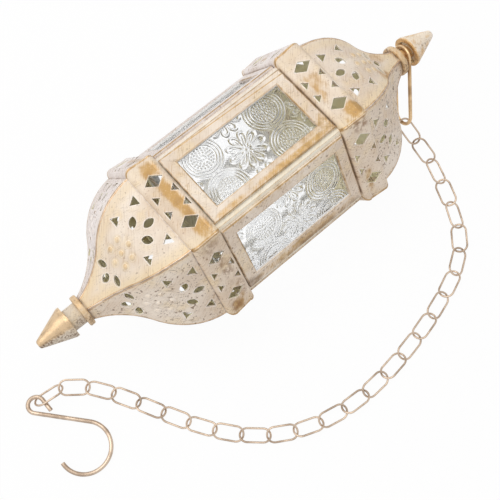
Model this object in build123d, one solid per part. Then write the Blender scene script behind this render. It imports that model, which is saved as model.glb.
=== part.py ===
from build123d import *
import math
import os

# A six-sided hanging lantern of pressed sheet metal and patterned glass, lying on one side
# with its chain and S-hook laid out beside it. Sizes are in millimetres.
# The lantern is drawn standing up, its axis along Z, and is then laid along X, top towards +X.

os.makedirs("parts", exist_ok=True)

# Body: six panels between two pressed bands
panel_count = 6
body_apothem = 38.5  # lantern axis to the outside of a side of the shell
sheet = 0.8  # sheet metal of the shell, bands, domes and tray
window_height = 73.0
window_gap = 0.7  # between a window frame and a band
post_strip = 3.0  # bare strip between a corner and the nearest frame
post_wing = 4.8  # width of each folded side of a corner post
rail_clearance = 1.0  # between the ends of the glass and the shell's rails

# Window frames, the glass behind them and the tabs that hold it
frame_thickness = 1.6
frame_side_border = 6.1
frame_end_border = 6.3
frame_chamfer = 0.45
pane_thickness = 2.0
pane_overlap = 2.0  # how far the glass reaches behind the frame
pane_clearance = 0.15
tab_length = 5.0
tab_thickness = 0.5
tab_grip = 1.4  # how far a tab is folded over the back of the glass
tab_spacing = 36.0  # between the two tabs of one long side

# Door: the panel that faces up, hung on two pins that turn in the bands
door_gap = 0.25  # between the door and the shell behind it
pin_radius = 0.5
pin_clearance = 0.05
pin_from_edge = 0.5  # hinge axis to the long edge of the door
pin_from_back = 0.45  # hinge axis to the back of the door frame

# Bands: rolled belts round both ends of the body
band_height = 15.4
band_lip_overhang = 1.7  # the edge next to the windows stands this far outside the shell
band_shoulder_overhang = 3.7  # the belt next to that edge
band_crest_overhang = 4.45  # the widest line of the belt
band_lip_roll = 3.0  # height of the rolled edge next to the windows
band_crest_roll = 3.4  # radius of the rolled edge next to the dome
band_window_flange = 2.5  # the flat edges reach this far inside the shell's outer faces
band_dome_flange = 1.2

# Domes: six panels each, curving out and then in to a neck
dome_height = 49.9
dome_seam_overhang = 1.25  # lower edge of a dome panel, outside the shell
dome_shoulder_rise = 15.4
dome_shoulder_inset = 4.85
dome_turn_rise = 28.4  # where the curve changes from outward to inward
dome_turn_inset = 16.75
neck_apothem = 6.1

# Piercings of a dome panel, measured along the sheet from its lower edge
leaf_length = 5.9
leaf_width = 3.8
lower_fan_centre = 16.4
lower_fan_reach = 10.5  # fan centre to the middle of the upright leaf
lower_fan_side_reach = 7.3
lower_fan_angle = 47.0
upper_fan_centre = 36.0
upper_fan_reach = 7.2
upper_fan_side_reach = 6.4
upper_fan_angle = 60.0
triangle_width = 5.3
triangle_height = 4.3
triangle_offset = 12.0  # from the panel's middle line
seam_triangle_base = 3.0
mid_triangle_base = 18.3
boss_ring_centre = 25.7
boss_ring_radius = 6.3
boss_count = 6
boss_radius = 1.6
boss_height = 0.7

# Piercings of a band panel, measured from the edge next to the windows
diamond_height = 10.0
diamond_width = 6.8
diamond_offset = 12.7
diamond_centre = 7.6
band_triangle_width = 4.6
band_triangle_height = 3.0
band_triangle_offset = 4.4
window_triangle_base = 1.3
dome_triangle_base = 13.6

# Candle tray
cup_radius = 19.6  # takes a tealight 38 across
cup_height = 8.0
cup_ledge = 1.2  # floor left round the cup's wall
tray_clearance = 0.3
tray_rim = 4.0
tray_spoke = 5.0  # between the openings that let light and air into the lower dome

# Finials: a turned cone on a stem, over a round collar
collar_radius = 8.5
collar_thickness = 3.0
stem_length = 6.6
lower_stem_radius = 5.8
upper_stem_radius = 3.6  # slimmer, where the hanging ring goes round it
spigot_step = 0.7  # the spigot in the neck is this much slimmer than the stem
spigot_length = 8.0
spigot_clearance = 0.1
cone_radius = 8.4
cone_length = 18.0
cone_rim = 1.5
cone_tip_radius = 2.0
cone_tip_round = 1.5
cone_hollow_depth = 1.8
cone_hollow_share = 0.6  # of the overhang round the stem

# Hanging ring: a long closed loop of wire round the upper stem
ring_wire_radius = 1.0
ring_bend_radius = 5.6
ring_lean = (-12.3, -21.4, -30.0)  # from the stem to the loop's far end, as it lies
ring_clearance = 0.3

# Chain
link_count = 26
link_pitch = 13.72
link_wire_radius = 0.53
link_bend_radius = 3.9
link_clearance = 0.8  # slack between two links
lying_roll = 21.0  # links lie rolled to one side and the other
second_link_roll = 42.0
last_link_roll = 40.0
floor_clearance = 0.05
landing_heading = -89.0  # direction in which the chain comes down to the floor
landing_lift = 0.4
share_tolerance = 1e-7  # of the route's length, when a link's end is sought along it
# Points on the floor that the chain passes through, as X and Y
chain_route = [
    (87, -71),
    (72, -93),
    (48, -105),
    (8, -114),
    (-33, -115),
    (-71, -100),
    (-98, -68),
    (-118, -31),
    (-134, -13),
    (-151, -10.5),
]

# S-hook
hook_wire_radius = 1.1
hook_slack = 2.4  # the last link lies this deep inside the eye
eye_radius = 4.1
eye_turn = 221.0
eye_tail = 7.0
hook_bar = 28.5
hook_radius = 13.0
hook_turn = 226.0
hook_heading = -49.0  # direction of the bar, as it lies
eye_lean = 10.0  # how far round the eye the last link lies

# Worked-out sizes
panel_angle = 360 / panel_count
half_panel = panel_angle / 2
corner_rise = math.tan(math.radians(half_panel))  # half a side for each unit of apothem
frame_half_width = (body_apothem + frame_thickness) * corner_rise - post_strip
opening_width = 2 * (frame_half_width - frame_side_border)
opening_height = window_height - 2 * frame_end_border
pane_width = opening_width + 2 * pane_overlap
pane_height = opening_height + 2 * pane_overlap
band_edge = window_height / 2 + window_gap
seam = band_edge + band_height
neck_end = seam + dome_height
collar_end = neck_end + collar_thickness
cone_base = collar_end + stem_length
tip = cone_base + cone_length
lip_apothem = body_apothem + band_lip_overhang
crest_apothem = body_apothem + band_crest_overhang
axis_height = crest_apothem  # the bands rest on the floor
hinge_apothem = body_apothem + door_gap + pin_from_back
hinge_offset = frame_half_width - pin_from_edge
reach = 2 * tip  # longer than anything that it cuts

lying = Plane(origin=(0, 0, axis_height), x_dir=(0, 0, 1), z_dir=(1, 0, 0)).location


def save(shape, name):
    export_step(shape, f"parts/{name}.step")
    print(name, "volume", round(shape.volume, 1))


def lay_down(shape, name):
    save(lying * shape, name)


def turned(shape, panel):
    return Rot(0, 0, panel * panel_angle) * shape


def panel_wedge():
    # One panel's share of the space round the axis
    outline = Polygon(
        (0, 0), (reach, -reach * corner_rise), (reach, reach * corner_rise), align=None
    )
    return extrude(outline, amount=reach, both=True)


def across_panel(profile):
    # A profile drawn as (apothem, height), carried across one panel
    return extrude(Plane.XZ * profile, amount=body_apothem, both=True) & panel_wedge()


def marquise(length, width):
    tip_left, tip_right = (-length / 2, 0), (length / 2, 0)
    return make_face(
        [
            ThreePointArc(tip_left, (0, width / 2), tip_right),
            ThreePointArc(tip_right, (0, -width / 2), tip_left),
        ]
    )


def triangle(width, height):
    # Drawn with the middle of its base at the origin
    return Polygon((-width / 2, 0), (width / 2, 0), (0, height), align=None)


def punch(outline, depth):
    return extrude(outline, amount=depth, both=True)


# Dome panels

dome_seam = Vector(body_apothem + dome_seam_overhang, seam)
dome_shoulder = dome_seam + Vector(-dome_shoulder_inset, dome_shoulder_rise)
dome_turn = dome_seam + Vector(-dome_turn_inset, dome_turn_rise)
dome_neck = Vector(neck_apothem, neck_end)
lower_curve = ThreePointArc(dome_seam, dome_shoulder, dome_turn)
upper_curve = TangentArc(dome_turn, dome_neck, tangent=lower_curve % 1)
dome_curve = Wire([lower_curve, upper_curve])


def outward(curve, share):
    along = curve % share
    return Vector(along.Y, -along.X)


def inner_arc(curve):
    # The inside face of the sheet, under a curve of its outside face
    points = [curve @ share - outward(curve, share) * sheet for share in (0, 0.5, 1)]
    return ThreePointArc(*points)


def on_dome(distance):
    # The plane that touches a dome panel this far up the sheet, its Y towards the neck
    share = distance / dome_curve.length
    spot, facing = dome_curve @ share, outward(dome_curve, share)
    return Plane(
        origin=(spot.X, 0, spot.Y), x_dir=(0, 1, 0), z_dir=(facing.X, 0, facing.Y)
    )


def dome_panel():
    lower_inside, upper_inside = inner_arc(lower_curve), inner_arc(upper_curve)
    ends = [Line(dome_neck, upper_inside @ 1), Line(lower_inside @ 0, dome_seam)]
    profile = make_face([lower_curve, upper_curve, lower_inside, upper_inside, *ends])
    panel = across_panel(profile)
    panel &= Pos(0, 0, seam) * extrude(Rectangle(reach, reach), amount=dome_height)
    leaf = marquise(leaf_length, leaf_width)
    cuts = []
    fans = [
        (lower_fan_centre, lower_fan_reach, lower_fan_side_reach, lower_fan_angle, -1),
        (upper_fan_centre, upper_fan_reach, upper_fan_side_reach, upper_fan_angle, 1),
    ]
    for centre, middle_reach, side_reach, angle, towards in fans:
        for spread in (-angle, 0, angle):
            out = side_reach if spread else middle_reach
            turn = math.radians(spread)
            spot = on_dome(centre + towards * out * math.cos(turn))
            lean = towards * (90 - spread)
            cuts.append(
                spot * Pos(out * math.sin(turn), 0) * Rot(0, 0, lean) * punch(leaf, 2 * sheet)
            )
    for side in (-1, 1):
        rows = [
            (seam_triangle_base, triangle_height),
            (mid_triangle_base, -triangle_height),
        ]
        for base, height in rows:
            shape = Pos(0, -height / 2) * triangle(triangle_width, height)
            spot = on_dome(base + height / 2)
            cuts.append(spot * Pos(side * triangle_offset, 0) * punch(shape, 2 * sheet))
    return (panel - cuts) + [boss(*spot) for spot in boss_spots()]


def boss_spots():
    yield boss_ring_centre, 0
    for step in range(boss_count):
        turn = math.radians(step * 360 / boss_count)
        up, aside = boss_ring_radius * math.cos(turn), boss_ring_radius * math.sin(turn)
        yield boss_ring_centre + up, aside


def boss(distance, aside):
    # A pressed bead: the cap of a ball, rooted in the sheet
    ball = (boss_radius**2 + boss_height**2) / (2 * boss_height)
    cap = Pos(0, 0, boss_height - ball) * Sphere(ball)
    block = Pos(0, 0, -sheet / 2) * extrude(Rectangle(reach, reach), amount=reach)
    return on_dome(distance) * Pos(aside, 0) * (cap & block)


# Bands


def band_profile():
    lip, low = lip_apothem, band_edge
    shoulder = Vector(body_apothem + band_shoulder_overhang, low + band_lip_roll)
    crest = Vector(crest_apothem, seam - band_crest_roll)
    inside = Vector(crest_apothem - band_crest_roll, seam)
    flange = body_apothem - band_window_flange
    top_flange = body_apothem - band_dome_flange
    along = (crest - shoulder).normalized()
    outer = [
        Line((flange, low), (lip, low)),
        TangentArc((lip, low), shoulder, tangent=(1, 0)),
        Line(shoulder, crest),
        TangentArc(crest, inside, tangent=(0, 1)),
        Line(inside, (top_flange, seam)),
    ]
    inset = Vector(-along.Y, along.X) * sheet
    inner = [
        Line((flange, low + sheet), (lip, low + sheet)),
        TangentArc((lip, low + sheet), shoulder + inset, tangent=(1, 0)),
        Line(shoulder + inset, crest + inset),
        TangentArc(crest + inset, inside - Vector(0, sheet), tangent=(0, 1)),
        Line(inside - Vector(0, sheet), (top_flange, seam - sheet)),
    ]
    ends = [
        Line((flange, low), (flange, low + sheet)),
        Line((top_flange, seam), (top_flange, seam - sheet)),
    ]
    return make_face([*outer, *inner, *ends])


def band_panel():
    panel = across_panel(band_profile())
    face = Plane(origin=(crest_apothem, 0, band_edge), x_dir=(0, 1, 0), z_dir=(1, 0, 0))
    depth = band_crest_overhang + sheet
    diamond = Polygon(
        (-diamond_width / 2, 0),
        (0, -diamond_height / 2),
        (diamond_width / 2, 0),
        (0, diamond_height / 2),
        align=None,
    )
    cuts = []
    for side in (-1, 1):
        low = triangle(band_triangle_width, band_triangle_height)
        high = triangle(band_triangle_width, -band_triangle_height)
        aside = side * band_triangle_offset
        cuts.append(face * Pos(side * diamond_offset, diamond_centre) * punch(diamond, depth))
        cuts.append(face * Pos(aside, window_triangle_base) * punch(low, depth))
        cuts.append(face * Pos(aside, dome_triangle_base) * punch(high, depth))
    return panel - cuts


def band():
    # The first panel's flange has the hole for the door's pin
    panel = band_panel()
    ring = Part() + [turned(panel, step) for step in range(panel_count)]
    hole = Cylinder(pin_radius + pin_clearance, reach)
    return ring - Pos(hinge_apothem, hinge_offset, 0) * hole


# Shell, frames and glass


def body_shell():
    # A six-sided tube with a cut-out behind each frame, which leaves the posts and two rails
    outer = RegularPolygon(body_apothem, panel_count, major_radius=False, rotation=half_panel)
    inner = RegularPolygon(
        body_apothem - sheet, panel_count, major_radius=False, rotation=half_panel
    )
    tube = extrude(outer - inner, amount=band_edge, both=True)
    width = 2 * (body_apothem * corner_rise - post_wing)
    height = pane_height + 2 * rail_clearance
    cutout = Pos(body_apothem, 0, 0) * Box(body_apothem, width, height)
    return tube - [turned(cutout, panel) for panel in range(panel_count)]


def window_frame(back):
    face = Plane(origin=(back, 0, 0), x_dir=(0, 1, 0), z_dir=(1, 0, 0))
    outline = Rectangle(2 * frame_half_width, window_height)
    outline -= Rectangle(opening_width, opening_height)
    frame = extrude(face * outline, amount=frame_thickness)
    front = frame.faces().sort_by(Axis.X)[-1]
    frame = chamfer(front.edges(), frame_chamfer)
    return frame + [tab(back, side, end) for side in (-1, 1) for end in (-1, 1)]


def tab(back, side, end):
    # A strip bent back past the edge of the glass and folded over it
    inside = pane_width / 2 + pane_clearance
    far = back - pane_thickness - pane_clearance
    leg = Pos((back + far - tab_thickness) / 2, inside + tab_thickness / 2) * Box(
        back - far + tab_thickness, tab_thickness, tab_length
    )
    fold = tab_grip + tab_thickness
    foot = Pos(far - tab_thickness / 2, inside + tab_thickness - fold / 2) * Box(
        tab_thickness, fold, tab_length
    )
    height = Pos(0, 0, end * tab_spacing / 2)
    return height * (Rot(0, 0, 0) if side > 0 else Rot(180, 0, 0)) * (leg + foot)


def pane(back):
    return Pos(back - pane_thickness / 2, 0, 0) * Box(pane_thickness, pane_width, pane_height)


def door_frame():
    back = body_apothem + door_gap
    length = band_edge + sheet - pin_clearance - window_height / 2
    pins = [
        Pos(hinge_apothem, hinge_offset, end * (window_height + length) / 2)
        * Cylinder(pin_radius, length)
        for end in (-1, 1)
    ]
    return window_frame(back) + pins


# Candle tray, resting on the lower band's flange


def candle_tray():
    apothem = body_apothem - sheet - tray_clearance
    plate = RegularPolygon(apothem, panel_count, major_radius=False, rotation=half_panel)
    middle = apothem - tray_rim
    openings = RegularPolygon(middle, panel_count, major_radius=False, rotation=half_panel)
    openings -= Circle(cup_radius + sheet + cup_ledge)
    for corner in range(panel_count // 2):
        openings -= Rot(0, 0, (2 * corner + 1) * half_panel) * Rectangle(4 * apothem, tray_spoke)
    cup = Circle(cup_radius + sheet) - Circle(cup_radius)
    tray = extrude(plate - openings, amount=sheet) + extrude(cup, amount=cup_height)
    return Pos(0, 0, -band_edge) * tray


# Finials and collars


def finial(stem_radius):
    rim = cone_base + cone_rim
    spigot = stem_radius - spigot_step
    hollow_radius = stem_radius + cone_hollow_share * (cone_radius - stem_radius)
    hollow = cone_base + cone_hollow_depth
    outline = Polyline(
        (0, collar_end - spigot_length),
        (spigot, collar_end - spigot_length),
        (spigot, collar_end),
        (stem_radius, collar_end),
        (stem_radius, hollow),
        (hollow_radius, hollow),
        (hollow_radius, cone_base),
        (cone_radius, cone_base),
        (cone_radius, rim),
        (cone_tip_radius, tip),
        (0, tip),
        close=True,
    )
    profile = make_face(outline)
    nose = profile.vertices().group_by(Axis.Y)[-1].sort_by(Axis.X)[-1]
    return revolve(Plane.XZ * fillet(nose, cone_tip_round), Axis.Z)


def collar(stem_radius):
    bore = stem_radius - spigot_step + spigot_clearance
    ring = Circle(collar_radius) - Circle(bore)
    ring = Pos(0, 0, neck_end) * extrude(ring, amount=collar_thickness)
    rims = ring.edges().filter_by(GeomType.CIRCLE).sort_by(SortBy.RADIUS)[-2:]
    return fillet(rims, collar_thickness / 4)


# Wire loops: the hanging ring and the chain's links


def wire_loop(straight, bend_radius, wire_radius):
    # A closed oval of round wire in the XY plane, its long way along X
    path = SlotCenterToCenter(straight, 2 * bend_radius).wire()
    side = path.edges().filter_by(GeomType.LINE)[0]
    section = Plane(origin=side @ 0.5, z_dir=side % 0.5) * Circle(wire_radius)
    return sweep(section, path=path)


def hanging_ring():
    inside = upper_stem_radius / ring_facing.X + ring_wire_radius + ring_clearance
    length = ring_reach + inside
    straight = length - 2 * ring_bend_radius
    middle = ring_stem + ring_along * (ring_reach - length / 2)
    loop = wire_loop(straight, ring_bend_radius, ring_wire_radius)
    return Plane(origin=middle, x_dir=ring_along, z_dir=ring_facing) * loop


ring_stem = Vector((collar_end + cone_base) / 2, 0, axis_height)
ring_reach = Vector(ring_lean).length
ring_along = Vector(ring_lean).normalized()
ring_facing = (Vector(1, 0, 0) - ring_along * ring_along.X).normalized()
ring_end = ring_stem + ring_along * ring_reach


# Where the chain's links meet


def step_along(curve, start, share, distance):
    # The share of the curve at which it is a given distance from a point on it
    low, high = share, 1.0
    while high - low > share_tolerance:
        middle = (low + high) / 2
        near = ((curve @ middle) - start).length < distance
        low, high = (middle, high) if near else (low, middle)
    return high


def lying_height(roll):
    return link_bend_radius * math.sin(math.radians(roll)) + link_wire_radius + floor_clearance


def chain_pivots():
    # From the hanging ring, straight down to the floor, then along the route
    floor = lying_height(lying_roll)
    first = link_pitch - ring_wire_radius - link_clearance / 2
    drop = ring_end.Z - floor - landing_lift
    run = math.sqrt((first + link_pitch) ** 2 - drop**2)
    landing = ring_end + Vector(run, 0, 0).rotate(Axis.Z, landing_heading) - Vector(0, 0, drop)
    down = (landing - ring_end).normalized()
    points = [ring_end, ring_end + down * first, landing]
    start = landing - Vector(0, 0, landing_lift)
    route = Spline(start, *[Vector(x, y, floor) for x, y in chain_route])
    run_on = Line(route @ 1, route @ 1 + (route % 1) * link_count * link_pitch)
    curve = Wire([route, run_on])
    share = 0.0
    for _ in range(link_count - 2):
        share = step_along(curve, points[-1], share, link_pitch)
        points.append(curve @ share)
    # The last link is rolled further over, so it lies higher
    lift = Vector(0, 0, lying_height(last_link_roll) - floor)
    return points[:-2] + [point + lift for point in points[-2:]]


pivots = chain_pivots()


def link_roll(number):
    if number == 1:
        return 0.0  # held flat by the hanging ring
    if number == 2:
        return second_link_roll
    size = last_link_roll if number == link_count else lying_roll
    return size if number % 2 == 0 else -size


def chain_link(number):
    near, far = pivots[number - 1], pivots[number]
    along = (far - near).normalized()
    aside = Vector(0, 0, 1).cross(along).normalized()
    facing = along.cross(aside).rotate(Axis((0, 0, 0), along), link_roll(number))
    middle = far - along * (link_pitch / 2)
    half_length = link_pitch / 2 + link_wire_radius + link_clearance / 2
    straight = 2 * (half_length - link_bend_radius)
    loop = wire_loop(straight, link_bend_radius, link_wire_radius)
    return Plane(origin=middle, x_dir=along, z_dir=facing) * loop


# S-hook: its eye is in the last link, and its bow lies on the floor


pull = (pivots[-1] - pivots[-2]).normalized()
hook_pivot = pivots[-1] + pull * (link_clearance / 2 - hook_slack - hook_wire_radius)


def s_hook():
    # Drawn along the bar, X from the eye to the bow
    eye = Vector(0, eye_radius)
    bow = Vector(hook_bar, -hook_radius)
    turn = 270 - eye_turn
    eye_end = eye + Vector(eye_radius, 0).rotate(Axis.Z, turn)
    tail_way = Vector(1, 0).rotate(Axis.Z, turn - 90)
    path = Wire(
        [
            Line(eye_end + tail_way * eye_tail, eye_end),
            CenterArc(eye, eye_radius, turn, eye_turn),
            Line((0, 0), (hook_bar, 0)),
            CenterArc(bow, hook_radius, 90, -hook_turn),
        ]
    )
    section = Plane(origin=path @ 0, z_dir=path % 0) * Circle(hook_wire_radius)
    hook = sweep(section, path=path)
    outwards = math.degrees(math.atan2(-pull.Y, -pull.X)) - hook_heading + eye_lean
    held = eye + Vector(eye_radius, 0).rotate(Axis.Z, outwards)
    drop = hook_pivot.Z - hook_wire_radius - floor_clearance
    slope = math.degrees(math.asin(drop / (hook_bar + hook_radius - held.X)))
    place = Pos(hook_pivot) * Rot(0, 0, hook_heading) * Rot(0, slope, 0)
    return place * Pos(-held.X, -held.Y) * hook


# Every piece, saved where it lies

dome = dome_panel()
belt = band()
frame, glass = window_frame(body_apothem), pane(body_apothem)
for panel in range(panel_count):
    name = panel + 1
    lay_down(turned(dome, panel), f"top_dome_panel_{name}")
    lay_down(turned(mirror(dome, Plane.XY), panel), f"bottom_dome_panel_{name}")
    if panel > 0:
        lay_down(turned(frame, panel), f"window_frame_{name}")
        lay_down(turned(glass, panel), f"window_pane_{name}")
lay_down(door_frame(), "door_frame")
lay_down(pane(body_apothem + door_gap), "door_pane")
lay_down(belt, "top_band")
lay_down(mirror(belt, Plane.XY), "bottom_band")
lay_down(body_shell(), "body_shell")
lay_down(candle_tray(), "candle_tray")
lay_down(collar(upper_stem_radius), "top_collar")
lay_down(mirror(collar(lower_stem_radius), Plane.XY), "bottom_collar")
lay_down(finial(upper_stem_radius), "top_finial")
lay_down(mirror(finial(lower_stem_radius), Plane.XY), "bottom_finial")
save(hanging_ring(), "hanging_ring")
for number in range(1, link_count + 1):
    save(chain_link(number), f"chain_link_{number:02d}")
save(s_hook(), "s_hook")
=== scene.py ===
import math

import bpy
import numpy as np
from mathutils import Matrix, Vector


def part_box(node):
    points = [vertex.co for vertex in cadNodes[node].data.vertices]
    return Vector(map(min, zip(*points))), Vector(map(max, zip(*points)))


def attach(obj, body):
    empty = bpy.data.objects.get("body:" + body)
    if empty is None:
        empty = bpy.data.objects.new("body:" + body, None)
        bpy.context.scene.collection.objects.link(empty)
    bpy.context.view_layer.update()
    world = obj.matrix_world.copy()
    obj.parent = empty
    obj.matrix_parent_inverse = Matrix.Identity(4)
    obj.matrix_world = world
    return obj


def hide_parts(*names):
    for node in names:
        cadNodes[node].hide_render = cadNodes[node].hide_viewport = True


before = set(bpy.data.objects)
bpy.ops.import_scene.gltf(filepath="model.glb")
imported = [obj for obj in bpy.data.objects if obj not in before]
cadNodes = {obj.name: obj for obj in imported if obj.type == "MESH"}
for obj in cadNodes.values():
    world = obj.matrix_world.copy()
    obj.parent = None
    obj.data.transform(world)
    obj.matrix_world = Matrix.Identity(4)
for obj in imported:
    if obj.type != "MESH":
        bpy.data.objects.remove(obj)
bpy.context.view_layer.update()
mm = 0.001
sideCount = 6
sideTurn = 2 * math.pi / sideCount
finialLow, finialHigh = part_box("top_finial")
axisHeight = (finialLow[2] + finialHigh[2]) / 2  # the lantern's axis lies along X
print("frame loaded:", len(cadNodes), "nodes")


# Node helpers


def feed(tree, socket, value):
    if isinstance(value, bpy.types.NodeSocket):
        tree.links.new(value, socket)
    else:
        socket.default_value = value


def addNode(tree, kind, inputs=None, **settings):
    node = tree.nodes.new(kind)
    for name, value in settings.items():
        setattr(node, name, value)
    for socket, value in (inputs or {}).items():
        feed(tree, node.inputs[socket], value)
    return node


def calc(tree, operation, *values):
    node = addNode(tree, "ShaderNodeMath", operation=operation)
    for socket, value in zip(node.inputs, values):
        feed(tree, socket, value)
    return node.outputs[0]


def largest(tree, *values):
    result = values[0]
    for value in values[1:]:
        result = calc(tree, "MAXIMUM", result, value)
    return result


def times(tree, *values):
    result = values[0]
    for value in values[1:]:
        result = calc(tree, "MULTIPLY", result, value)
    return result


def vectorCalc(tree, operation, first, second=None):
    inputs = {0: first} if second is None else {0: first, 1: second}
    return addNode(tree, "ShaderNodeVectorMath", inputs, operation=operation).outputs


def joined(tree, x, y, z):
    return addNode(tree, "ShaderNodeCombineXYZ", {0: x, 1: y, 2: z}).outputs[0]


def fade(tree, value, start, end):
    # 0 at start, 1 at end, eased between them
    node = addNode(tree, "ShaderNodeMapRange", interpolation_type="SMOOTHSTEP")
    for socket, given in zip(("Value", "From Min", "From Max"), (value, start, end)):
        feed(tree, node.inputs[socket], given)
    return node.outputs["Result"]


def spread(tree, value, low, high):
    # a 0 to 1 value laid over low to high
    node = addNode(tree, "ShaderNodeMapRange", {"Value": value, "To Min": low, "To Max": high})
    return node.outputs["Result"]


def noise(tree, vector, scale, detail=2.0):
    inputs = {"Vector": vector, "Scale": scale, "Detail": detail}
    return addNode(tree, "ShaderNodeTexNoise", inputs).outputs["Fac"]


def streaks(tree, flat, angle, length, width, detail=2.0):
    # noise drawn out along one direction of the flat sheet
    inputs = {"Vector": flat, "Rotation": (0, 0, math.radians(angle)), "Scale": (length, width, 1)}
    drawn = addNode(tree, "ShaderNodeMapping", inputs, vector_type="TEXTURE")
    return noise(tree, drawn.outputs["Vector"], 1.0, detail)


def tint(tree, factor, first, second):
    node = addNode(tree, "ShaderNodeMix", data_type="RGBA")
    for index, value in ((0, factor), (6, first), (7, second)):
        feed(tree, node.inputs[index], value)
    return node.outputs[2]


def newGroup(name, inputs, outputs):
    tree = bpy.data.node_groups.new(name, "ShaderNodeTree")
    for label, kind in inputs:
        tree.interface.new_socket(label, in_out="INPUT", socket_type="NodeSocket" + kind)
    for label, kind in outputs:
        tree.interface.new_socket(label, in_out="OUTPUT", socket_type="NodeSocket" + kind)
    given = tree.nodes.new("NodeGroupInput")
    result = tree.nodes.new("NodeGroupOutput")
    return tree, given.outputs, result.inputs


def place(tree, group, inputs):
    node = addNode(tree, "ShaderNodeGroup", node_tree=group)
    for label, value in inputs.items():
        feed(tree, node.inputs[label], value)
    return node.outputs


def newMaterial(name):
    material = bpy.data.materials.new(name)
    material.use_nodes = True
    tree = material.node_tree
    return material, tree, tree.nodes["Principled BSDF"].inputs


# Shared effects


def sixSides():
    # where a point lies on its own side of the lantern: along, across and out from the axis
    tree, given, result = newGroup(
        "six sides",
        [("Vector", "Vector")],
        [("Flat", "Vector"), ("Along", "Float"), ("Across", "Float"), ("Ridge", "Float"),
         ("Radial", "Vector")],
    )
    x, y, z = addNode(tree, "ShaderNodeSeparateXYZ", {0: given["Vector"]}).outputs
    rise = calc(tree, "SUBTRACT", z, axisHeight)
    angle = calc(tree, "ARCTAN2", y, rise)
    folded = calc(tree, "WRAP", angle, sideTurn / 2, -sideTurn / 2)
    side = calc(tree, "SUBTRACT", angle, folded)
    radial = joined(tree, 0.0, y, rise)
    radius = vectorCalc(tree, "LENGTH", radial)["Value"]
    across = times(tree, radius, calc(tree, "SINE", folded))
    out = times(tree, radius, calc(tree, "COSINE", folded))
    beside = times(tree, calc(tree, "ABSOLUTE", across), math.cos(sideTurn / 2))
    ridge = calc(tree, "SUBTRACT", times(tree, out, math.sin(sideTurn / 2)), beside)
    feed(tree, result["Flat"], joined(tree, x, across, side))
    feed(tree, result["Along"], x)
    feed(tree, result["Across"], across)
    feed(tree, result["Ridge"], ridge)
    feed(tree, result["Radial"], vectorCalc(tree, "NORMALIZE", radial)["Vector"])
    return tree


def edgeWear():
    # how near a surface point is to a sharp edge
    tree, given, result = newGroup("edge wear", [("Radius", "Float")], [("Mask", "Float")])
    rounded = addNode(tree, "ShaderNodeBevel", {"Radius": given["Radius"]}, samples=6)
    surface = tree.nodes.new("ShaderNodeNewGeometry")
    match = vectorCalc(tree, "DOT_PRODUCT", rounded.outputs[0], surface.outputs["Normal"])
    feed(tree, result["Mask"], fade(tree, match["Value"], 0.995, 0.86))
    return tree


def creviceGrimeAndShade():
    # how hemmed in a surface point is by what stands close to it, for grime and painted shade in crevices
    # and between parts
    tree, given, result = newGroup("crevice grime and shade", [("Reach", "Float")], [("Mask", "Float")])
    around = addNode(tree, "ShaderNodeAmbientOcclusion", {"Distance": given["Reach"]}, samples=6)
    feed(tree, result["Mask"], fade(tree, around.outputs["AO"], 0.85, 0.35))
    return tree


def giltPatch():
    # a soft patch of gold brushed on round a point of the flat sheet
    tree, given, result = newGroup(
        "gilt patch",
        [("Flat", "Vector"), ("Centre", "Vector"), ("Size", "Vector")],
        [("Mask", "Float")],
    )
    offset = vectorCalc(tree, "SUBTRACT", given["Flat"], given["Centre"])["Vector"]
    scaled = vectorCalc(tree, "DIVIDE", offset, given["Size"])["Vector"]
    reach = vectorCalc(tree, "LENGTH", scaled)["Value"]
    feed(tree, result["Mask"], fade(tree, reach, 1.35, 0.3))
    return tree


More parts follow.
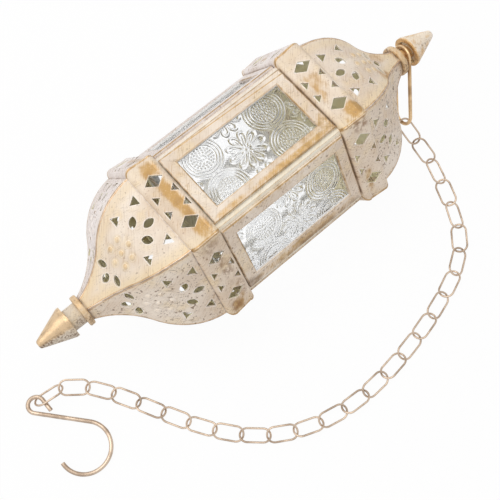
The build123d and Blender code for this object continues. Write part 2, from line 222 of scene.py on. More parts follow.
def agedPaint():
    # cream paint rubbed back to gold, with a yellow wash, brush hairs, pale rims painted as highlights,
    # specks, and grime that also carries painted shade
    tree, given, result = newGroup(
        "aged paint",
        [("Flat", "Vector"), ("Paint", "Color"), ("Shade", "Color"), ("Wash", "Color"),
         ("Gilt", "Color"), ("Grime", "Color"), ("Highlight", "Color"), ("Wear", "Float"), ("Warm", "Float"),
         ("Rims", "Float"), ("Brush", "Float"), ("Specks", "Float"), ("DirtAndShade", "Float"),
         ("Polish", "Float")],
        [("Color", "Color"), ("Roughness", "Float"), ("Metallic", "Float"), ("Height", "Float")],
    )
    flat = given["Flat"]
    mottle = noise(tree, flat, 48.0, 3.0)
    patchy = noise(tree, flat, 105.0, 3.0)
    cloud = noise(tree, flat, 270.0, 3.0)
    flake = noise(tree, flat, 640.0, 3.0)
    grain = noise(tree, flat, 1500.0, 2.0)
    leaning = streaks(tree, flat, 48.0, 8 * mm, 0.42 * mm)
    crossing = streaks(tree, flat, -24.0, 4 * mm, 0.3 * mm)
    coat = tint(tree, fade(tree, mottle, 0.36, 0.64), given["Paint"], given["Shade"])
    warm = times(tree, given["Warm"], spread(tree, cloud, 0.5, 1.3))
    yellowed = times(tree, fade(tree, patchy, 0.48, 0.72), 0.6)
    coat = tint(tree, largest(tree, warm, yellowed), coat, given["Wash"])
    hairColour = tint(tree, 0.28, given["Shade"], given["Grime"])
    hairs = times(tree, fade(tree, leaning, 0.51, 0.7), spread(tree, patchy, 0.1, 1.0))
    coat = tint(tree, hairs, coat, hairColour)
    torn = calc(tree, "ADD", times(tree, cloud, 0.7), times(tree, leaning, 0.5))
    torn = calc(tree, "ADD", calc(tree, "SUBTRACT", torn, 0.6), given["Wear"])
    worn = times(tree, fade(tree, torn, 0.16, 0.68), fade(tree, given["Wear"], 0.02, 0.2))
    dry = times(tree, fade(tree, leaning, 0.55, 0.68), fade(tree, mottle, 0.46, 0.62), given["Brush"])
    flecks = spread(tree, fade(tree, grain, 0.58, 0.68), 1.0, 0.6)
    gilt = times(tree, largest(tree, worn, dry), flecks)
    deep = tint(tree, 0.35, given["Gilt"], given["Grime"])
    gold = tint(tree, fade(tree, cloud, 0.42, 0.75), given["Gilt"], deep)
    spots = times(tree, fade(tree, grain, 0.6, 0.68), fade(tree, cloud, 0.46, 0.6))
    scratches = times(tree, fade(tree, crossing, 0.61, 0.68), fade(tree, patchy, 0.42, 0.56))
    flakes = fade(tree, calc(tree, "MULTIPLY_ADD", given["Specks"], 0.1, flake), 0.69, 0.75)
    marks = largest(tree, spots, scratches, flakes)
    dirtAndShade = times(tree, marks, given["Specks"])
    # the given dirt mask holds grime and painted shade alike
    dirtAndShade = largest(tree, dirtAndShade, times(tree, given["DirtAndShade"], fade(tree, cloud, 0.25, 0.6)))
    painted = tint(tree, gilt, coat, gold)
    # pale rims along the edges: a painted highlight
    painted = tint(tree, given["Rims"], painted, given["Highlight"])
    feed(tree, result["Color"], tint(tree, dirtAndShade, painted, given["Grime"]))
    feed(tree, result["Metallic"], times(tree, gilt, 0.6))
    dull = calc(tree, "ADD", spread(tree, gilt, 0.5, given["Polish"]), times(tree, grain, 0.12))
    feed(tree, result["Roughness"], dull)
    level = calc(tree, "SUBTRACT", times(tree, leaning, 0.5), times(tree, gilt, 0.3))
    feed(tree, result["Height"], calc(tree, "SUBTRACT", level, times(tree, dirtAndShade, 0.4)))
    return tree


sideGroup = sixSides()
edgeGroup = edgeWear()
creviceShadeGroup = creviceGrimeAndShade()
patchGroup = giltPatch()
paintGroup = agedPaint()
print("shared effects ready")


# Painted sheet metal

cream = {
    "paint": (0.89, 0.79, 0.665, 1),
    "shade": (0.76, 0.635, 0.50, 1),
    "wash": (0.86, 0.69, 0.43, 1),
    "cool": (0.82, 0.765, 0.735, 1),
    "coolShade": (0.72, 0.65, 0.61, 1),
    "coolWay": (0, 0.866, 0.5),  # the side given a painted cool shade, standing in for the cooler light on it
    "gilt": (0.58, 0.345, 0.145, 1),
    # a dark brown for grime and specks, also used for painted shade
    "grime": (0.21, 0.13, 0.075, 1),
    # near white, for the painted highlight on the rims
    "rim": (1.0, 0.98, 0.93, 1),
    "inside": (0.97, 0.93, 0.72, 1),
    "insideShade": (0.91, 0.85, 0.58, 1),
    "edgeRadius": 0.7 * mm,
    "edges": 0.6,
    "rims": 0.0,
    # crevice darkening from ambient occlusion: grime together with painted shade between parts
    "creviceShadeReach": 1.6 * mm,
    "creviceShading": 0.6,
    "brush": 0.5,
    "specks": 0.68,
    "specksTop": 0.45,
    "polish": 0.36,
    "bump": 0.3,
}


def patchMask(tree, flat, patches):
    # each patch: along, across, side turns, length, width and strength, in mm
    mask = 0.0
    for along, across, turns, length, width, strength in patches:
        inputs = {
            "Flat": flat,
            "Centre": (along * mm, across * mm, turns * sideTurn),
            "Size": (length * mm, width * mm, 0.5),
        }
        mask = largest(tree, times(tree, place(tree, patchGroup, inputs)["Mask"], strength), mask)
    return mask


def onTop(tree, sides):
    # 1 on the side that faces up, where the paint is cleaner and warmer
    lifted = vectorCalc(tree, "DOT_PRODUCT", sides["Radial"], (0, 0, 1))["Value"]
    return fade(tree, lifted, 0.82, 0.88)


def paintedMetal(name, look, gilding=None, soilingAndShade=None, warming=None):
    # gilding, soiling and warming are masks of a piece's own: gold; dirt together with painted shade; and
    # yellow wash
    material, tree, shader = newMaterial(name)
    places = tree.nodes.new("ShaderNodeTexCoord")
    sides = place(tree, sideGroup, {"Vector": places.outputs["Object"]})
    # edges get gold wear, and also the painted highlight on the rims
    edges = place(tree, edgeGroup, {"Radius": look["edgeRadius"]})["Mask"]
    wear = times(tree, edges, look["edges"])
    # crevices darkened toward the grime colour: grime together with painted shade
    dirtAndShade = times(tree, place(tree, creviceShadeGroup, {"Reach": look["creviceShadeReach"]})["Mask"], look["creviceShading"])
    if gilding:
        wear = largest(tree, wear, gilding(tree, sides))
    if soilingAndShade:
        dirtAndShade = largest(tree, dirtAndShade, soilingAndShade(tree, sides))
    # paint, shade and wash turn cool lavender on the side facing coolWay: painted shade for the cooler
    # light there
    coolShadeSide = vectorCalc(tree, "DOT_PRODUCT", sides["Radial"], look["coolWay"])["Value"]
    coolShadeSide = fade(tree, coolShadeSide, 0.8, 0.92)
    paint = place(
        tree, paintGroup,
        {
            "Flat": sides["Flat"], "Paint": tint(tree, coolShadeSide, look["paint"], look["cool"]),
            "Shade": tint(tree, coolShadeSide, look["shade"], look["coolShade"]),
            "Wash": tint(tree, times(tree, coolShadeSide, 0.8), look["wash"], look["cool"]),
            "Gilt": look["gilt"], "Grime": look["grime"], "Highlight": look["rim"], "Wear": wear,
            "Warm": warming(tree, sides) if warming else 0.0, "Rims": times(tree, edges, look["rims"]),
            "Brush": look["brush"], "DirtAndShade": dirtAndShade, "Polish": look["polish"],
            "Specks": spread(tree, onTop(tree, sides), look["specks"], look["specksTop"]),
        },
    )
    mottled = fade(tree, noise(tree, sides["Flat"], 130.0), 0.35, 0.65)
    inside = tint(tree, mottled, look["inside"], look["insideShade"])
    facing = vectorCalc(tree, "DOT_PRODUCT", places.outputs["Normal"], sides["Radial"])["Value"]
    inner = fade(tree, facing, -0.15, -0.35)
    feed(tree, shader["Base Color"], tint(tree, inner, paint["Color"], inside))
    feed(tree, shader["Roughness"], paint["Roughness"])
    feed(tree, shader["Metallic"], paint["Metallic"])
    bumpInputs = {"Strength": look["bump"], "Distance": 0.25 * mm, "Height": paint["Height"]}
    feed(tree, shader["Normal"], addNode(tree, "ShaderNodeBump", bumpInputs).outputs["Normal"])
    return material


def dress(names, material):
    for name in names:
        for holder in cadNodes[name].material_slots:
            holder.material = material


def numbered(stem, first=1):
    return [f"{stem}_{number}" for number in range(first, sideCount + 1)]


def nearRidge(tree, sides, width, strength):
    return times(tree, fade(tree, sides["Ridge"], width * mm, 0.15 * width * mm), strength)


def between(tree, value, low, high, soft):
    # 1 from low to high, in mm, with soft ends
    rise = fade(tree, value, (low - soft) * mm, (low + soft) * mm)
    return times(tree, rise, fade(tree, value, (high + soft) * mm, (high - soft) * mm))


# Domes: gold on the ridges, on the pressed beads and worn at the top neck

domeLook = {
    **cream,
    "edges": 0.2,
    "specks": 0.85,
    # a painted highlight on the rims of the holes
    "rims": 0.7,
    "edgeRadius": 1.1 * mm,
    "ridgeWidth": 1.4,
    "ridges": 0.78,
    "warmWidth": 7.5,
    "warmth": 0.85,
    "seamWidth": 0.45,
    "seams": 0.9,
    "joint": (52.2, 53.1),  # mm from the lantern's middle, where the dome meets its band
    "joints": (0.85, 0.4),  # on the other sides and on the top one
    "beadCentre": 75.3,  # mm from the lantern's middle, along the axis
    "beadReach": (4.57, 6.3),
    "beadSize": (1.9, 2.3),
    "beads": 0.32,
    "beadWarmth": 0.9,
    # a painted shade ring round each bead, for the shade of its rise
    "beadShadeLines": 0.12,
    "gold": [(84, -9, 0, 9, 5, 0.45), (90, 3, 0, 8, 5, 0.4)],
}


def beadMask(tree, sides, strength):
    look = domeLook
    mirrored = joined(tree, calc(tree, "ABSOLUTE", sides["Along"]), sides["Across"], 0.0)
    spots = [(look["beadCentre"], 0.0)]
    for step in range(sideCount):
        turn = step * sideTurn
        along = look["beadCentre"] + look["beadReach"][0] * math.cos(turn)
        spots.append((along, look["beadReach"][1] * math.sin(turn)))
    beads = [(along, across, 0, *look["beadSize"], strength) for along, across in spots]
    return patchMask(tree, mirrored, beads)


def domeGilding(tree, sides):
    look = domeLook
    gold = times(tree, beadMask(tree, sides, look["beads"]), spread(tree, onTop(tree, sides), 0.6, 1.0))
    worn = patchMask(tree, sides["Flat"], look["gold"])
    return largest(tree, nearRidge(tree, sides, look["ridgeWidth"], look["ridges"]), gold, worn)


def domeSoilingAndShade(tree, sides):
    look = domeLook
    along = calc(tree, "ABSOLUTE", sides["Along"])
    shown = spread(tree, onTop(tree, sides), *look["joints"])
    joint = times(tree, between(tree, along, *look["joint"], 0.3), shown)
    bead = beadMask(tree, sides, 1.0)
    # a ring round each bead: painted shade
    outline = times(tree, fade(tree, bead, 0.02, 0.25), fade(tree, bead, 0.6, 0.3), look["beadShadeLines"])
    return largest(tree, joint, outline, nearRidge(tree, sides, look["seamWidth"], look["seams"]))


def domeWarming(tree, sides):
    near = nearRidge(tree, sides, domeLook["warmWidth"], domeLook["warmth"])
    beads = beadMask(tree, sides, domeLook["beadWarmth"])
    return times(tree, largest(tree, near, beads), onTop(tree, sides))


domePaint = paintedMetal("dome paint", domeLook, domeGilding, domeSoilingAndShade, domeWarming)
dress(numbered("top_dome_panel") + numbered("bottom_dome_panel"), domePaint)


# Bands: a brushed gold stripe near the windows, gold corners and rust spots

bandLook = {
    **cream,
    "paint": (0.87, 0.75, 0.605, 1),
    "shade": (0.75, 0.61, 0.46, 1),
    "edges": 0.3,
    # a painted highlight on the rims of the holes
    "rims": 0.6,
    "edgeRadius": 1.0 * mm,
    "grime": (0.27, 0.14, 0.06, 1),
    "gilt": (0.48, 0.295, 0.11, 1),
    "specks": 0.7,
    "specksTop": 0.45,
    "warmWidth": 8.0,
    "warmth": 0.6,
    "stripe": (40.4, 44.6),  # mm from the lantern's middle
    "stripes": 0.5,
    "ridgeWidth": 1.6,
    "ridges": 0.66,
    "gold": [
        (-42.8, 0, 0, 4.2, 22, 0.7),
        (-42.6, -18, 0, 5, 7, 0.7),
        (-43, 18, 0, 6, 6, 0.66),
        (-42.4, 4, 0, 2.4, 10, 0.85),
        (48, -19.5, 0, 5.5, 6, 0.76),
        (45, 2, 0, 5, 8, 0.42),
        (-46, -20, -1, 4.5, 5, 0.62),
        (44, 12, -1, 5, 6, 0.4),
    ],
    "rust": [
        (46, 21, -1, 5, 4, 0.9),
        (-45, 20, -1, 5, 4, 0.6),
        (-43, 4, -1, 3, 11, 0.9),
        (-47, -20, -1, 3.5, 4, 0.8),
        (-41, -12, -1, 3, 6, 0.6),
    ],
}


def bandGilding(tree, sides):
    look = bandLook
    along = calc(tree, "ABSOLUTE", sides["Along"])
    stripe = between(tree, along, *look["stripe"], 1.6)
    broken = fade(tree, noise(tree, sides["Flat"], 42.0), 0.42, 0.6)
    stripe = times(tree, stripe, broken, look["stripes"])
    ridges = nearRidge(tree, sides, look["ridgeWidth"], look["ridges"])
    return largest(tree, stripe, ridges, patchMask(tree, sides["Flat"], look["gold"]))


def bandSoiling(tree, sides):
    broken = fade(tree, noise(tree, sides["Flat"], 560.0, 3.0), 0.36, 0.54)
    return times(tree, patchMask(tree, sides["Flat"], bandLook["rust"]), broken)


def bandWarming(tree, sides):
    near = nearRidge(tree, sides, bandLook["warmWidth"], bandLook["warmth"])
    return times(tree, near, onTop(tree, sides))


bandPaint = paintedMetal("band paint", bandLook, bandGilding, bandSoiling, bandWarming)
dress(["top_band", "bottom_band"], bandPaint)


# Window frames and door: mitred corners, and the door's handled edges rubbed to gold

frameLook = {
    **cream,
    "edges": 0.36,
    "gilt": (0.53, 0.335, 0.13, 1),
    "edgeRadius": 0.6 * mm,
    "inside": (0.94, 0.94, 0.94, 1),
    "insideShade": (0.86, 0.86, 0.85, 1),
    "opening": (30.2, 14.05),  # mm, half its length and half its width
    "outside": (36.5, 20.15),
    "lineWidth": 1.2,
    "goldLines": (0.72, 0.62),  # round the opening and round the outside
    # brown lines along the opening and the outside: painted shade along the frame's edges
    "brownWidth": 0.65,
    "brownLines": (0.75, 0.4),
    "mitre": 0.22,
    "mitres": 0.4,
    # on side B's frame: gold along both long borders, and brown at a lower corner and along the lower
    # border, darker towards the floor side
    "gold": [(0, -17.6, -1, 46, 3.2, 0.5), (0, 18.6, -1, 46, 2, 0.3)],
    "rust": [(-34, -18, -1, 6, 4, 0.75), (10, -19, -1, 30, 1.6, 0.6)],
}
doorLook = {
    **frameLook,
    "gold": [
        (14, -18.6, 0, 34, 2.6, 0.62),
        (20, -15.4, 0, 22, 2.6, 0.42),
        (33.5, -15, 0, 5, 8, 0.46),
        (-26, -18.6, 0, 16, 2.2, 0.5),
        (-34, 6, 0, 4, 9, 0.3),
    ],
    "slanted": (18.46, -0.038),  # mm across at the middle, and its slant
    "slantedWidth": 0.5,
    "slantedGold": 0.62,
}


def edgeLines(tree, sides, width, strengths):
    # lines along the opening and along the outside of a frame
    look = frameLook
    along, across = (calc(tree, "ABSOLUTE", sides[name]) for name in ("Along", "Across"))
    spans = (along, across)
    inner = [calc(tree, "SUBTRACT", span, half * mm) for span, half in zip(spans, look["opening"])]
    outer = [calc(tree, "SUBTRACT", half * mm, span) for span, half in zip(spans, look["outside"])]
    within = fade(tree, largest(tree, *inner), width * mm, 0.15 * width * mm)
    around = fade(tree, calc(tree, "MINIMUM", *outer), width * mm, 0.15 * width * mm)
    lines = largest(tree, times(tree, within, strengths[0]), times(tree, around, strengths[1]))
    normal = tree.nodes.new("ShaderNodeTexCoord").outputs["Normal"]
    facing = vectorCalc(tree, "DOT_PRODUCT", normal, sides["Radial"])["Value"]
    return times(tree, lines, fade(tree, facing, 0.6, 0.75))  # not on the frame's thickness


def mitreLines(tree, sides):
    look = frameLook
    along = calc(tree, "SUBTRACT", calc(tree, "ABSOLUTE", sides["Along"]), look["opening"][0] * mm)
    across = calc(tree, "SUBTRACT", calc(tree, "ABSOLUTE", sides["Across"]), look["opening"][1] * mm)
    apart = calc(tree, "ABSOLUTE", calc(tree, "SUBTRACT", along, across))
    line = fade(tree, apart, look["mitre"] * mm, 0.3 * look["mitre"] * mm)
    return times(tree, line, fade(tree, along, 0.0, 0.2 * mm), look["mitres"])


def doorGilding(tree, sides):
    look = doorLook
    middle, slant = look["slanted"]
    line = calc(tree, "MULTIPLY_ADD", sides["Along"], slant, middle * mm)
    apart = calc(tree, "ABSOLUTE", calc(tree, "SUBTRACT", sides["Across"], line))
    drawn = times(tree, fade(tree, apart, look["slantedWidth"] * mm, 0.1 * mm), look["slantedGold"])
    lines = edgeLines(tree, sides, look["lineWidth"], look["goldLines"])
    return largest(tree, drawn, lines, patchMask(tree, sides["Flat"], look["gold"]))


def frameGilding(tree, sides):
    lines = edgeLines(tree, sides, frameLook["lineWidth"], frameLook["goldLines"])
    return largest(tree, lines, patchMask(tree, sides["Flat"], frameLook["gold"]))


def frameSoilingAndShade(tree, sides):
    # the brown edge lines are painted shade; the mitre lines and rust are the frame's own marks
    lines = edgeLines(tree, sides, frameLook["brownWidth"], frameLook["brownLines"])
    rust = patchMask(tree, sides["Flat"], frameLook["rust"])
    return largest(tree, lines, mitreLines(tree, sides), rust)


framePaint = paintedMetal("frame paint", frameLook, frameGilding, frameSoilingAndShade)
dress(numbered("window_frame", 2), framePaint)
doorPaint = paintedMetal("door paint", doorLook, doorGilding, frameSoilingAndShade)
dress(["door_frame"], doorPaint)


# Shell and tray: greener paint on the corner strips, gold along the folds

shellLook = {
    **cream,
    "paint": (0.97, 0.925, 0.785, 1),
    "shade": (0.93, 0.87, 0.71, 1),
    "inside": (0.95, 0.95, 0.95, 1),
    "insideShade": (0.87, 0.87, 0.86, 1),
    "brush": 0.3,
    "specks": 0.2,
    "specksTop": 0.15,
    "creviceShading": 0.05,
    "ridgeWidth": 0.6,
    "ridges": 0.3,
}


def shellGilding(tree, sides):
    return nearRidge(tree, sides, shellLook["ridgeWidth"], shellLook["ridges"])


dress(["body_shell"], paintedMetal("shell paint", shellLook, shellGilding))

trayLook = {**cream, "paint": (0.93, 0.91, 0.80, 1), "shade": (0.86, 0.82, 0.68, 1), "brush": 0.4}
dress(["candle_tray"], paintedMetal("tray paint", trayLook))


# Collars and finials

collarLook = {
    **cream,
    "coolWay": (0, 0, 0),
    "paint": (0.80, 0.66, 0.48, 1),
    "shade": (0.70, 0.54, 0.35, 1),
    "gilt": (0.66, 0.44, 0.22, 1),
    "creviceShading": 0.9,
    "gold": 0.45,
    # shadeWay and the darkening below it give painted shade on the side away from the lamps
    "shadeWay": (0, -0.97, -0.24),
    "shadeDarkening": 0.75,
}
bottomFinialLook = {
    **cream,
    "coolWay": (0, 0, 0),
    "paint": (0.74, 0.65, 0.52, 1),
    "shade": (0.62, 0.53, 0.41, 1),
    "gilt": (0.70, 0.51, 0.31, 1),
    "polish": 0.24,
    "coneBase": 111.8,  # mm from the lantern's middle
    "coneGold": 0.8,
    # shadeWay and the darkening below it give painted shade on the side away from the lamps
    "shadeWay": (0, -0.97, -0.24),
    "shadeDarkening": 0.95,
}
topFinialLook = {
    **cream,
    "coolWay": (0, 0, 0),
    "paint": (0.98, 0.88, 0.735, 1),
    "shade": (0.93, 0.81, 0.64, 1),
    "gilt": (0.74, 0.46, 0.19, 1),
    "coneBase": 112.0,
    "stemEnd": 114.2,
    "stemGold": 0.75,
    "coneGold": 0.52,
    # shadeWay and the darkening below it give painted shade on the side away from the lamps
    "shadeWay": (0, -0.97, -0.24),
    "shadeDarkening": 0.35,
}


def collarGilding(tree, sides):
    return times(tree, spread(tree, noise(tree, sides["Flat"], 140.0), 0.7, 1.3), collarLook["gold"])


def bottomGilding(tree, sides):
    look = bottomFinialLook
    along = calc(tree, "ABSOLUTE", sides["Along"])
    cone = fade(tree, along, (look["coneBase"] - 0.2) * mm, look["coneBase"] * mm)
    # less gold on the side turned toward shadeWay: painted shade on the cone
    turned = vectorCalc(tree, "DOT_PRODUCT", sides["Radial"], look["shadeWay"])["Value"]
    return times(tree, cone, fade(tree, turned, 0.75, 0.25), look["coneGold"])


def topGilding(tree, sides):
    look = topFinialLook
    stem = fade(tree, sides["Along"], look["stemEnd"] * mm, look["coneBase"] * mm)
    stem = times(tree, stem, look["stemGold"])
    patches = fade(tree, noise(tree, sides["Flat"], 120.0), 0.42, 0.62)
    return largest(tree, stem, times(tree, patches, look["coneGold"]))


def shadedSide(look):
    # painted shade, broken into brown specks, on the side turned toward shadeWay, away from the lamps
    def soilingAndShade(tree, sides):
        turned = vectorCalc(tree, "DOT_PRODUCT", sides["Radial"], look["shadeWay"])["Value"]
        broken = fade(tree, noise(tree, sides["Flat"], 1000.0, 3.0), 0.46, 0.58)
        return times(tree, fade(tree, turned, 0.2, 0.6), broken, look["shadeDarkening"])
    return soilingAndShade


collarPaint = paintedMetal("collar gilt", collarLook, collarGilding, shadedSide(collarLook))
dress(["top_collar", "bottom_collar"], collarPaint)
bottomShading = shadedSide(bottomFinialLook)
bottomPaint = paintedMetal("bottom finial gilt", bottomFinialLook, bottomGilding, bottomShading)
dress(["bottom_finial"], bottomPaint)
topPaint = paintedMetal("top finial paint", topFinialLook, topGilding, shadedSide(topFinialLook))
dress(["top_finial"], topPaint)
print("sheet metal painted")


# Wire: champagne chain and hook, golder ring

chainLook = {"bright": (0.62, 0.495, 0.385, 1), "dull": (0.42, 0.32, 0.24, 1), "metal": 0.75, "bump": 0.08}
ringLook = {"bright": (0.76, 0.54, 0.31, 1), "dull": (0.48, 0.31, 0.16, 1), "metal": 0.75, "bump": 0.08}


def brassWire(name, look):
    material, tree, shader = newMaterial(name)
    spot = tree.nodes.new("ShaderNodeTexCoord").outputs["Object"]
    cloud = noise(tree, spot, 130.0, 3.0)
    grain = noise(tree, spot, 2600.0, 2.0)
    tarnish = largest(tree, fade(tree, cloud, 0.4, 0.66), times(tree, fade(tree, grain, 0.58, 0.7), 0.3))
    feed(tree, shader["Base Color"], tint(tree, tarnish, look["bright"], look["dull"]))
    feed(tree, shader["Roughness"], spread(tree, tarnish, 0.26, 0.5))
    shader["Metallic"].default_value = look["metal"]
    bumpInputs = {"Strength": look["bump"], "Distance": 0.1 * mm, "Height": grain}
    feed(tree, shader["Normal"], addNode(tree, "ShaderNodeBump", bumpInputs).outputs["Normal"])
    return material


chainNames = [name for name in cadNodes if name.startswith("chain_link")]
dress([*chainNames, "s_hook"], brassWire("chain wire", chainLook))
dress(["hanging_ring"], brassWire("ring wire", ringLook))
print("wire done")


# Pressed glass: rings, dots and flowers raised on the outer face

glassLook = {
    "colour": (0.99, 0.995, 1.0, 1),
    "roughness": 0.015,
    "ior": 1.48,
    "relief": {1: 0.62, 2: 0.34, 3: 0.2, 4: 0.04, 5: 0.12, 6: 0.1},  # mm on each side
    "cell": 0.21,  # mm
    "thickness": 2.0,
    "overlap": 2.0,  # mm of the glass behind the frame
    "rowPitch": 37.0,
    "columnPitch": 20.0,
    "ringRadii": (9.75, 8.3, 6.85),
    "ringWidth": 0.55,
    "dotRows": ((5.3, 20), (4.1, 16), (2.9, 11)),
    "dotRadius": 0.42,
    "dots": {1: 1.25, 2: 0.6, 3: 0.8, 4: 0.8, 5: 0.8, 6: 0.8},  # beside the rings' height
    "petals": 10,
    "ripple": 0.02,
}
# where a ring's centre falls on each pane: along and across, in mm
paneShift = {
    1: (-20.0, 8.5), 2: (-17.0, 4.0), 3: (-9.0, -3.0),
    4: (-20.0, 2.0), 5: (-12.0, 7.0), 6: (-24.0, -5.0),
}


def hump(distance, width):
    near = np.clip(np.abs(distance) / width, 0, 1)
    return 0.5 + 0.5 * np.cos(np.pi * near)


def ringMotif(u, v, dots):
    look = glassLook
    radius, angle = np.hypot(u, v), np.arctan2(v, u)
    height = np.zeros_like(u)
    for ring in look["ringRadii"]:
        height = np.maximum(height, hump(radius - ring, look["ringWidth"]))
    for row, count in look["dotRows"]:
        step = 2 * np.pi / count
        swing = (np.mod(angle, step) - step / 2) * row
        height = np.maximum(height, dots * hump(np.hypot(radius - row, swing), look["dotRadius"] * 1.5))
    spokes = np.cos(8 * angle) * 0.5 + 0.5
    return np.maximum(height, 0.8 * spokes * hump(radius - 1.4, 1.3))


def flowerMotif(u, v):
    look = glassLook
    height = 0.9 * hump(np.hypot(u, v), 1.3)
    for petal in range(look["petals"]):
        turn = 2 * np.pi * petal / look["petals"]
        along = u * np.cos(turn) + v * np.sin(turn)
        aside = v * np.cos(turn) - u * np.sin(turn)
        leaf = np.hypot((along - 5.7) / 3.5, aside / (0.5 + 0.16 * np.clip(along, 0, 9)))
        outline = hump((leaf - 1) * 1.5, 0.62)
        rib = hump(aside, 0.4) * hump(along - 5.0, 2.6)
        height = np.maximum(height, np.where(along > 0, np.maximum(outline, 0.7 * rib), 0))
    return height


def folded(value, pitch):
    return np.mod(value + pitch / 2, pitch) - pitch / 2


def paneRelief(u, v, side, opening):
    look, shift = glassLook, paneShift[side]
    rows, columns = look["rowPitch"], look["columnPitch"]
    ringU, ringV = folded(u - shift[0], rows), folded(v - shift[1], columns)
    flowerU = folded(u - shift[0] - rows / 2, rows)
    flowerV = folded(v - shift[1] - columns / 2, columns)
    height = np.maximum(ringMotif(ringU, ringV, look["dots"][side]), flowerMotif(flowerU, flowerV))
    stud = hump(ringU, 0.8) * hump(np.abs(ringV) - columns / 2, 0.8)
    ripple = look["ripple"] * np.sin(5.3 * u + 2.1 * v) * np.sin(4.7 * v - 1.9 * u)
    height = np.maximum(height, stud) + ripple
    inside = hump(np.maximum(np.abs(u) - opening[0] + 0.2, 0), 0.5)
    inside *= hump(np.maximum(np.abs(v) - opening[1] + 0.2, 0), 0.5)
    return look["relief"][side] * height * inside


def onSide(points, side):
    # mm along, across and out from the axis, turned to one side of the lantern
    turn = Matrix.Rotation((side - 1) * sideTurn, 3, "X")
    moved = points @ np.array(turn).T
    moved[:, 2] += axisHeight / mm
    return moved * mm


def paneHalves():
    low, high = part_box("door_pane")
    return (high[0] - low[0]) / 2 / mm, (high[1] - low[1]) / 2 / mm


def pressedPane(node, side, face, body, material):
    look = glassLook
    halfU, halfV = paneHalves()
    opening = halfU - look["overlap"], halfV - look["overlap"]
    us = np.linspace(-halfU, halfU, int(2 * halfU / look["cell"]) + 1)
    vs = np.linspace(-halfV, halfV, int(2 * halfV / look["cell"]) + 1)
    u, v = (grid.ravel() for grid in np.meshgrid(us, vs, indexing="ij"))
    front = np.stack([u, v, face + paneRelief(u, v, side, opening)], 1)
    back = np.array([(x, y, face - look["thickness"]) for y in (-halfV, halfV) for x in us])
    nu, nv = len(us), len(vs)
    grid = np.arange(nu * nv).reshape(nu, nv)
    low, high = nu * nv + np.arange(nu), nu * nv + nu + np.arange(nu)
    quads = np.stack([grid[:-1, :-1], grid[1:, :-1], grid[1:, 1:], grid[:-1, 1:]], -1).reshape(-1, 4)
    faces = [tuple(map(int, quad)) for quad in quads]
    for i in range(nu - 1):
        faces.append((int(low[i]), int(low[i + 1]), int(grid[i + 1, 0]), int(grid[i, 0])))
        faces.append((int(grid[i, -1]), int(grid[i + 1, -1]), int(high[i + 1]), int(high[i])))
        faces.append((int(high[i]), int(high[i + 1]), int(low[i + 1]), int(low[i])))
    faces.append((int(low[0]), *map(int, grid[0, :]), int(high[0])))
    faces.append((int(high[-1]), *map(int, grid[-1, ::-1]), int(low[-1])))
    mesh = bpy.data.meshes.new(f"pressed_{node}")
    mesh.from_pydata(onSide(np.vstack([front, back]), side).tolist(), [], faces)
    mesh.materials.append(material)
    smooth = np.zeros(len(faces), bool)
    smooth[: len(quads)] = True
    mesh.polygons.foreach_set("use_smooth", smooth)
    piece = bpy.data.objects.new(f"pressed_{node}", mesh)
    bpy.context.scene.collection.objects.link(piece)
    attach(piece, body)
    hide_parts(node)


def clearGlass(name, look):
    material, tree, shader = newMaterial(name)
    shader["Base Color"].default_value = look["colour"]
    shader["Roughness"].default_value = look["roughness"]
    shader["IOR"].default_value = look["ior"]
    shader["Transmission Weight"].default_value = 1.0
    clear = tree.nodes.new("ShaderNodeBsdfTransparent")
    rays = tree.nodes.new("ShaderNodeLightPath")
    inputs = {
        0: rays.outputs["Is Shadow Ray"],
        1: tree.nodes["Principled BSDF"].outputs[0],
        2: clear.outputs[0],
    }
    mix = addNode(tree, "ShaderNodeMixShader", inputs)
    feed(tree, tree.nodes["Material Output"].inputs["Surface"], mix.outputs[0])
    return material


glass = clearGlass("pressed glass", glassLook)
doorFace = (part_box("door_pane")[1][2] - axisHeight) / mm
shellFace = (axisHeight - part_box("window_pane_4")[0][2]) / mm
pressedPane("door_pane", 1, doorFace, "door", glass)
for side in range(2, sideCount + 1):
    pressedPane(f"window_pane_{side}", side, shellFace, "lantern", glass)
print("glass pressed")


# Stage: white floor, soft light and the camera

stageLook = {
    "floorColour": (0.9, 0.9, 0.9, 1),
    "floorHalf": 4.0,
    "floorGlow": 0.95,
    "worldLevel": 0.64,
    "worldTint": (0.975, 0.965, 1.0, 1),
}
lampLook = {
    "key": {"power": 3.0, "place": (-0.12, 0.22, 0.92), "size": 0.7, "tint": (1.0, 0.965, 0.9)},
    "side": {"power": 1.0, "place": (-0.63, 0.32, 0.57), "size": 0.5, "tint": (1.0, 0.97, 0.92)},
    "fill": {"power": 0.8, "place": (0.1, 0.95, 0.3), "size": 0.6, "tint": (0.85, 0.9, 1.0)},
}


def seen(tree):
    rays = tree.nodes.new("ShaderNodeLightPath").outputs
    return largest(tree, rays["Is Camera Ray"], rays["Is Glossy Ray"], rays["Is Transmission Ray"])


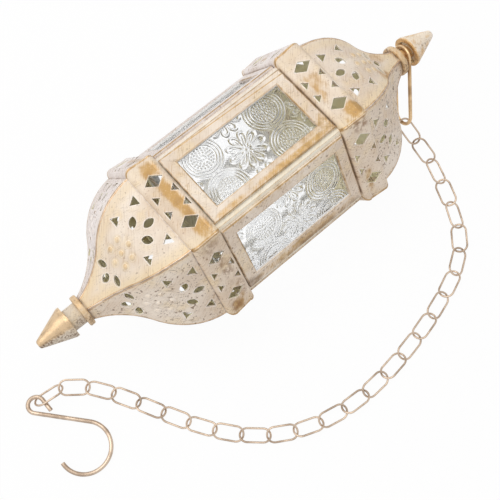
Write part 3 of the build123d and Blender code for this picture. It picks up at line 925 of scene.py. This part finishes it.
def whiteFloor():
    mesh = bpy.data.meshes.new("floor")
    half = stageLook["floorHalf"]
    corners = [(-half, -half, 0), (half, -half, 0), (half, half, 0), (-half, half, 0)]
    mesh.from_pydata(corners, [], [(0, 1, 2, 3)])
    floor = bpy.data.objects.new("floor", mesh)
    bpy.context.scene.collection.objects.link(floor)
    material, tree, shader = newMaterial("white floor")
    shader["Base Color"].default_value = stageLook["floorColour"]
    shader["Roughness"].default_value = 0.9
    shader["Specular IOR Level"].default_value = 0.0
    glow = addNode(tree, "ShaderNodeEmission", {"Color": (1, 1, 1, 1), "Strength": 1.0})
    share = times(tree, seen(tree), stageLook["floorGlow"])
    inputs = {0: share, 1: tree.nodes["Principled BSDF"].outputs[0], 2: glow.outputs[0]}
    mix = addNode(tree, "ShaderNodeMixShader", inputs)
    feed(tree, tree.nodes["Material Output"].inputs["Surface"], mix.outputs[0])
    mesh.materials.append(material)


def softLight():
    world = bpy.data.worlds.new("studio")
    bpy.context.scene.world = world
    world.use_nodes = True
    tree = world.node_tree
    background = tree.nodes["Background"]
    shown = seen(tree)
    feed(tree, background.inputs["Color"], tint(tree, shown, stageLook["worldTint"], (1, 1, 1, 1)))
    feed(tree, background.inputs["Strength"], spread(tree, shown, stageLook["worldLevel"], 1.0))
    for name, look in lampLook.items():
        lamp = bpy.data.lights.new(name, "AREA")
        lamp.energy, lamp.size, lamp.color = look["power"], look["size"], look["tint"]
        holder = bpy.data.objects.new(name, lamp)
        holder.location = look["place"]
        holder.rotation_euler = (-Vector(look["place"])).to_track_quat("-Z", "Y").to_euler()
        bpy.context.scene.collection.objects.link(holder)


cameraLook = {
    "place": (-0.1139, -0.1292, 0.43435),
    "right": (0.7546, -0.6564, 0.0063),
    "forward": (0.2178, 0.2414, -0.9457),
    "lens": 60.99,
}


def photoCamera():
    look = cameraLook
    forward = Vector(look["forward"]).normalized()
    right = Vector(look["right"])
    right = (right - forward * right.dot(forward)).normalized()
    up = right.cross(forward)
    data = bpy.data.cameras.new("camera")
    data.lens = look["lens"]
    data.clip_start = 0.01
    camera = bpy.data.objects.new("camera", data)
    turn = Matrix((right, up, -forward)).transposed().to_4x4()
    camera.matrix_world = Matrix.Translation(look["place"]) @ turn
    bpy.context.scene.collection.objects.link(camera)
    bpy.context.scene.camera = camera


whiteFloor()
softLight()
photoCamera()
bpy.context.scene.view_settings.view_transform = "Standard"
print("stage set")
